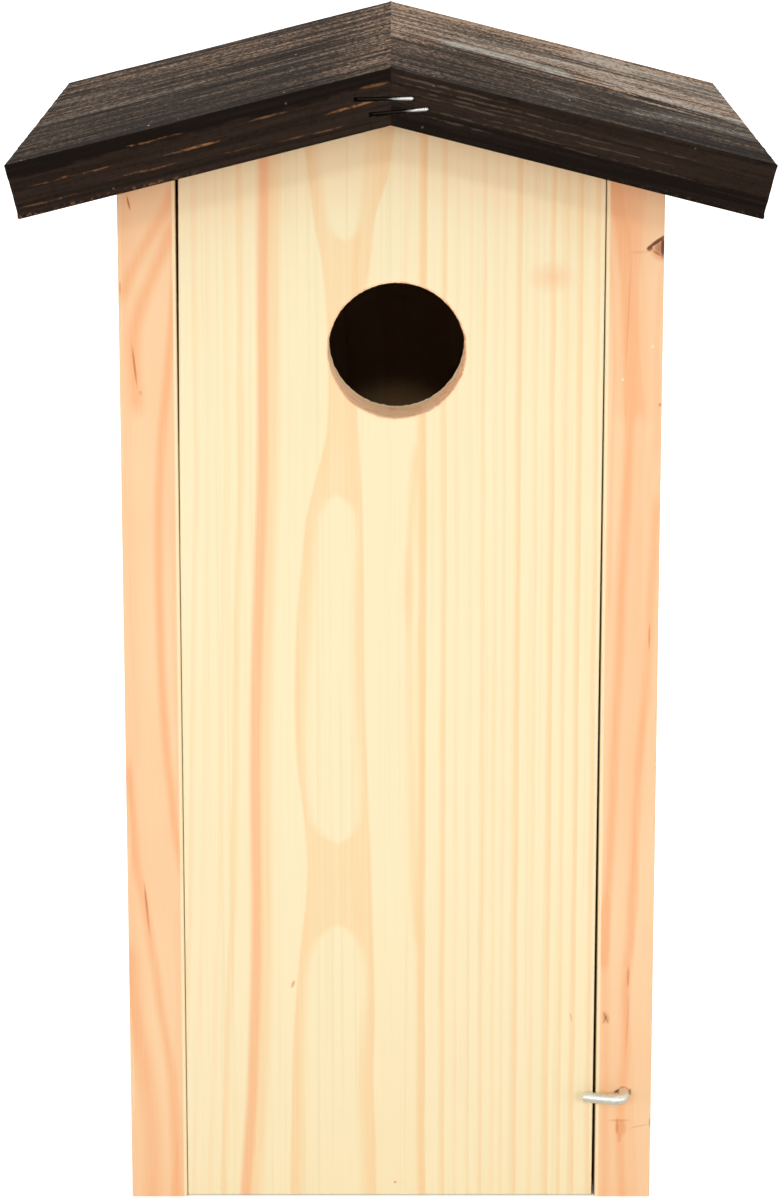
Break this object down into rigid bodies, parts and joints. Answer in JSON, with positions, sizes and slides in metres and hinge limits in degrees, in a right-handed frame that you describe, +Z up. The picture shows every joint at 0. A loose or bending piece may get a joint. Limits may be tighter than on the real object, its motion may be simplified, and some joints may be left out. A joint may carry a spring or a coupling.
{
  "type": "bird nest box",
  "caption": "Upright wooden bird nest box with a dark stained gable roof, a round entrance hole, and a front that swings open for cleaning, held shut by a bent wire latch.",
  "frame": {"origin": "on the ground, under the centre of the whole box's bounding box", "axes": "+X to the right as seen from the door, +Y from the door to the back, +Z up"},
  "size_m": [0.242, 0.218, 0.395],
  "materials": {
    "door_wood": "planed bare pine, pale cream with orange late wood, matte",
    "side_wood": "planed bare softwood, peach orange, matte",
    "inner_wood": "planed bare pine, matte",
    "roof_wood": "brushed softwood under a near-black stain that lets brown streaks through, low sheen",
    "latch_zinc": "bright zinc-plated wire",
    "nail_steel": "galvanised wire nails",
    "brad_steel": "brads stained over with the roof",
    "staple_steel": "galvanised wire staples"
  },
  "bodies": {
    "box": {"left_side": "side_wood", "right_side": "side_wood", "back_board": "inner_wood", "floor_board": "inner_wood", "roof_left": "roof_wood", "roof_right": "roof_wood", "left_pivot_nail": "nail_steel", "right_pivot_nail": "nail_steel", "left_floor_nails": "nail_steel", "right_floor_nails": "nail_steel", "left_back_nails": "nail_steel", "right_back_nails": "nail_steel", "back_floor_nails": "nail_steel", "left_roof_brads": "brad_steel", "right_roof_brads": "brad_steel", "front_ridge_staple_upper": "staple_steel", "front_ridge_staple_lower": "staple_steel", "rear_ridge_staple_upper": "staple_steel", "rear_ridge_staple_lower": "staple_steel"},
    "door": {"door": "door_wood"},
    "latch": {"latch_hook": "latch_zinc"}
  },
  "joints": [
    {"name": "door_hinge", "type": "hinge", "parent": "box", "child": "door", "pos_m": [0, -0.0595, 0.31], "axis": [-1, 0, 0], "range_deg": [0, 120]},
    {"name": "latch_turn", "type": "hinge", "parent": "box", "child": "latch", "pos_m": [0.0795, -0.069, 0.0385], "axis": [0, 1, 0], "continuous": true}
  ]
}
